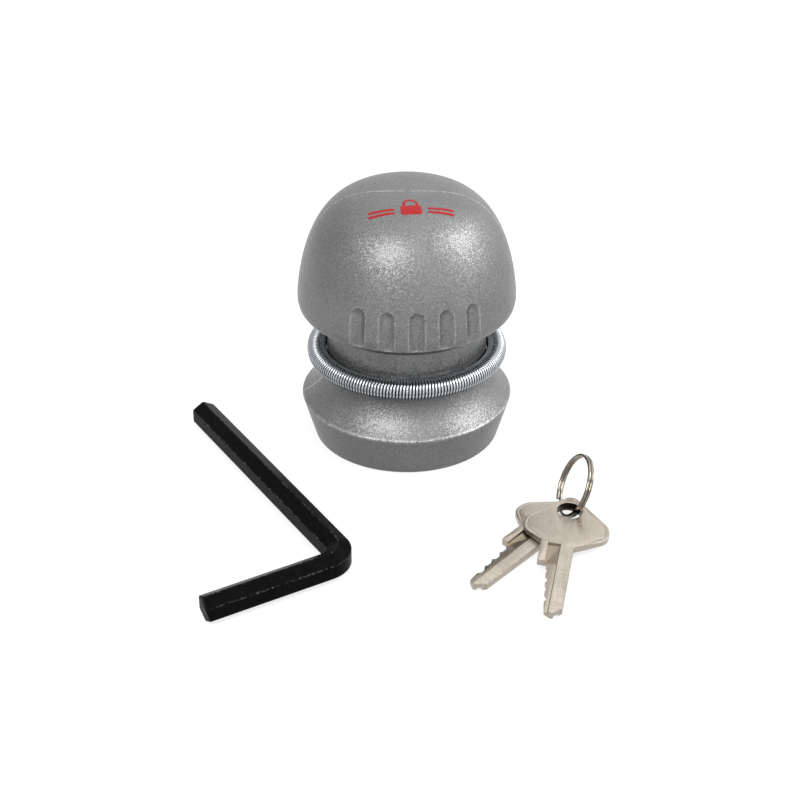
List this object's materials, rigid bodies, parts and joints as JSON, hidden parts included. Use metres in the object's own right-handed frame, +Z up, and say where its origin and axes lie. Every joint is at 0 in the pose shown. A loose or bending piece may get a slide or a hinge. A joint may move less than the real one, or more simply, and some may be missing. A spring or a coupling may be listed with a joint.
{
  "type": "trailer coupler lock",
  "caption": "Ball-shaped expanding lock that fills a trailer coupler's ball socket, with its L-shaped hexagon key and two lock keys on a split ring.",
  "frame": {"origin": "centre of the base's flat foot, on the surface that the lock and its keys stand on", "axes": "+Z up along the lock's axis, -Y towards the flutes at the front, +X towards the lock keys"},
  "size_m": [0.0941, 0.1039, 0.0609],
  "materials": {
    "cast_alloy": "tumbled casting, grainy satin",
    "zinc_spring": "bright zinc plate",
    "steel": "turned steel",
    "dark_steel": "phosphated",
    "black_oxide": "black oxide on steel, satin",
    "nickel_key": "nickel plated brass",
    "nickel_wire": "nickel plated spring wire",
    "brass": "machined",
    "seal_rubber": "matt"
  },
  "bodies": {
    "base": {"lower_body": "cast_alloy", "thrust_washer": "steel", "retaining_ring": "dark_steel", "return_spring": "steel"},
    "garter": {"garter_spring": "zinc_spring"},
    "cap": {"ball_cap": "cast_alloy", "thread_insert": "steel", "guide_pins": "steel"},
    "screw": {"clamp_screw": "dark_steel"},
    "plug": {"lock_housing": "nickel_key", "index_pin": "steel", "face_cap": "steel", "plug_seal": "seal_rubber"},
    "barrel": {"lock_barrel": "brass", "tumbler_wafers": "brass", "wafer_springs": "steel"},
    "bolt": {"lock_bolt": "steel"},
    "hex_key": {"hex_key": "black_oxide"},
    "key_ring": {"key_ring": "nickel_wire"},
    "key_front": {"key_front": "nickel_key"},
    "key_rear": {"key_rear": "nickel_key"}
  },
  "joints": [
    {"name": "screw_turn", "type": "hinge", "parent": "base", "child": "screw", "pos_m": [0, 0, 0.03], "axis": [0, 0, 1], "range_deg": [0, 1440]},
    {"name": "cap_slide", "type": "slide", "parent": "base", "child": "cap", "axis": [0, 0, 1], "range_m": [-0.006, 0], "deforming": ["return_spring"]},
    {"name": "garter_turn", "type": "hinge", "parent": "base", "child": "garter", "pos_m": [0, 0, 0.0215], "axis": [0, 0, 1], "range_deg": [-180, 180]},
    {"name": "plug_pull", "type": "slide", "parent": "base", "child": "plug", "axis": [0, 0, -1], "range_m": [0, 0.03]},
    {"name": "barrel_turn", "type": "hinge", "parent": "plug", "child": "barrel", "pos_m": [0, 0, 0.01], "axis": [0, 0, 1], "range_deg": [0, 90]},
    {"name": "bolt_slide", "type": "slide", "parent": "plug", "child": "bolt", "axis": [1, 0, 0], "range_m": [0, 0.002]},
    {"name": "hex_key_lift", "type": "slide", "parent": "base", "child": "hex_key", "axis": [0, 0, 1], "range_m": [0, 0.06]},
    {"name": "key_ring_lift", "type": "slide", "parent": "base", "child": "key_ring", "axis": [0, 0, 1], "range_m": [0, 0.06]},
    {"name": "key_front_swing", "type": "hinge", "parent": "key_ring", "child": "key_front", "pos_m": [0.0352, -0.0432, 0.00274], "axis": [0, 0, 1], "range_deg": [0, 30]},
    {"name": "key_rear_swing", "type": "hinge", "parent": "key_ring", "child": "key_rear", "pos_m": [0.0352, -0.041, 0.00091], "axis": [0, 0, 1], "range_deg": [-15, 0]}
  ],
  "couplings": [
    {"joint": "screw_turn", "follows": "cap_slide", "rad_per_m": -4188.7},
    {"joint": "barrel_turn", "follows": "bolt_slide", "rad_per_m": 785.39}
  ]
}
